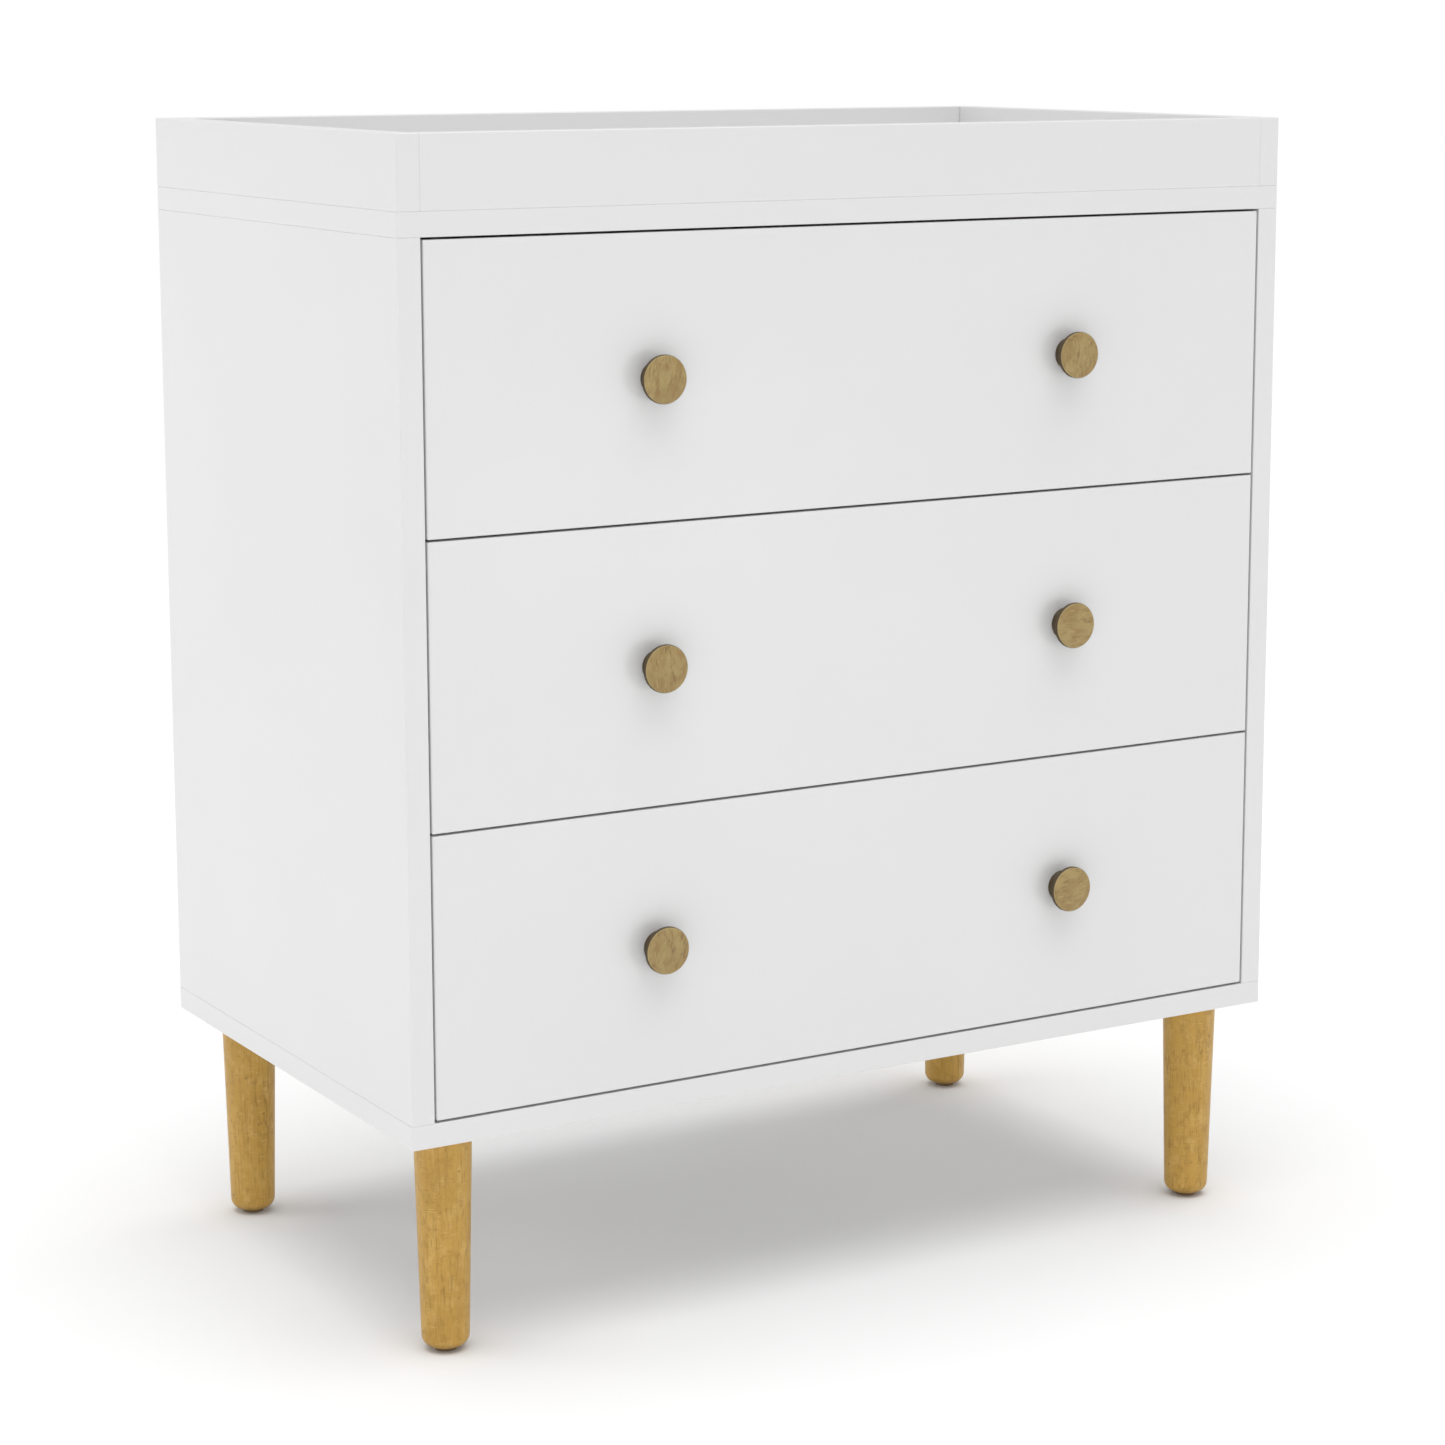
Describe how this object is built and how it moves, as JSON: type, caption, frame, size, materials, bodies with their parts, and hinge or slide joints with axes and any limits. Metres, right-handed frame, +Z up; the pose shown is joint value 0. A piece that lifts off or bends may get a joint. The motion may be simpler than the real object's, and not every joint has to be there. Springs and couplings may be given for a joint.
{
  "type": "changing table",
  "caption": "Chest of drawers on turned wooden legs with an open changing tray on top; each drawer slides out on ball bearing slides.",
  "frame": {"origin": "on the floor, under the middle of the whole object's box, knobs and rear brackets included", "axes": "+Z up, +Y to the wall behind it, +X to the right of someone who stands in front of the drawers"},
  "size_m": [0.86, 0.5182, 0.997],
  "materials": {
    "white_lacquer": "satin lacquered fibreboard",
    "white_drawer_board": "white melamine faced board",
    "white_hardboard": "white faced hardboard",
    "leg_wood": "clear lacquered turned wood",
    "knob_wood": "clear lacquered turned wood",
    "beech_dowel": "fluted beech",
    "slide_steel": "bright zinc plated, cold rolled",
    "zinc_plated_steel": "zinc plated",
    "zinc_casting": "die cast zinc",
    "nylon": "moulded brown nylon"
  },
  "bodies": {
    "case": {"top_panel": "white_lacquer", "bottom_panel": "white_lacquer", "side_panel_left": "white_lacquer", "side_panel_right": "white_lacquer", "back_panel": "white_hardboard", "rear_rail": "white_lacquer", "tray_front_board": "white_lacquer", "tray_back_board": "white_lacquer", "tray_side_left": "white_lacquer", "tray_side_right": "white_lacquer", "tray_brackets": "zinc_plated_steel", "leg_front_left": "leg_wood", "leg_front_right": "leg_wood", "leg_rear_left": "leg_wood", "leg_rear_right": "leg_wood", "leg_bolts": "zinc_plated_steel", "leg_inserts": "zinc_plated_steel", "leg_glides": "nylon", "cam_locks": "zinc_casting", "cam_bolts": "zinc_plated_steel", "dowels": "beech_dowel", "panel_screws": "zinc_plated_steel", "wall_anchor_bracket": "zinc_plated_steel", "case_slide_rails": "slide_steel"},
    "top_drawer": {"top_drawer_front": "white_lacquer", "top_drawer_side_left": "white_drawer_board", "top_drawer_side_right": "white_drawer_board", "top_drawer_back": "white_drawer_board", "top_drawer_bottom": "white_hardboard", "top_drawer_knob_left": "knob_wood", "top_drawer_knob_right": "knob_wood", "top_drawer_knob_screws": "zinc_plated_steel", "top_drawer_cam_fittings": "zinc_casting", "top_drawer_screws": "zinc_plated_steel", "top_drawer_rails": "slide_steel"},
    "top_middle_rails": {"top_drawer_middle_rails": "slide_steel"},
    "middle_drawer": {"middle_drawer_front": "white_lacquer", "middle_drawer_side_left": "white_drawer_board", "middle_drawer_side_right": "white_drawer_board", "middle_drawer_back": "white_drawer_board", "middle_drawer_bottom": "white_hardboard", "middle_drawer_knob_left": "knob_wood", "middle_drawer_knob_right": "knob_wood", "middle_drawer_knob_screws": "zinc_plated_steel", "middle_drawer_cam_fittings": "zinc_casting", "middle_drawer_screws": "zinc_plated_steel", "middle_drawer_rails": "slide_steel"},
    "middle_middle_rails": {"middle_drawer_middle_rails": "slide_steel"},
    "bottom_drawer": {"bottom_drawer_front": "white_lacquer", "bottom_drawer_side_left": "white_drawer_board", "bottom_drawer_side_right": "white_drawer_board", "bottom_drawer_back": "white_drawer_board", "bottom_drawer_bottom": "white_hardboard", "bottom_drawer_knob_left": "knob_wood", "bottom_drawer_knob_right": "knob_wood", "bottom_drawer_knob_screws": "zinc_plated_steel", "bottom_drawer_cam_fittings": "zinc_casting", "bottom_drawer_screws": "zinc_plated_steel", "bottom_drawer_rails": "slide_steel"},
    "bottom_middle_rails": {"bottom_drawer_middle_rails": "slide_steel"}
  },
  "joints": [
    {"name": "top_drawer_slide", "type": "slide", "parent": "case", "child": "top_drawer", "axis": [0, -1, 0], "range_m": [0, 0.38]},
    {"name": "top_middle_rails_slide", "type": "slide", "parent": "case", "child": "top_middle_rails", "axis": [0, -1, 0], "range_m": [0, 0.19]},
    {"name": "middle_drawer_slide", "type": "slide", "parent": "case", "child": "middle_drawer", "axis": [0, -1, 0], "range_m": [0, 0.38]},
    {"name": "middle_middle_rails_slide", "type": "slide", "parent": "case", "child": "middle_middle_rails", "axis": [0, -1, 0], "range_m": [0, 0.19]},
    {"name": "bottom_drawer_slide", "type": "slide", "parent": "case", "child": "bottom_drawer", "axis": [0, -1, 0], "range_m": [0, 0.38]},
    {"name": "bottom_middle_rails_slide", "type": "slide", "parent": "case", "child": "bottom_middle_rails", "axis": [0, -1, 0], "range_m": [0, 0.19]}
  ],
  "couplings": [
    {"joint": "top_middle_rails_slide", "follows": "top_drawer_slide", "ratio": 0.5},
    {"joint": "middle_middle_rails_slide", "follows": "middle_drawer_slide", "ratio": 0.5},
    {"joint": "bottom_middle_rails_slide", "follows": "bottom_drawer_slide", "ratio": 0.5}
  ]
}
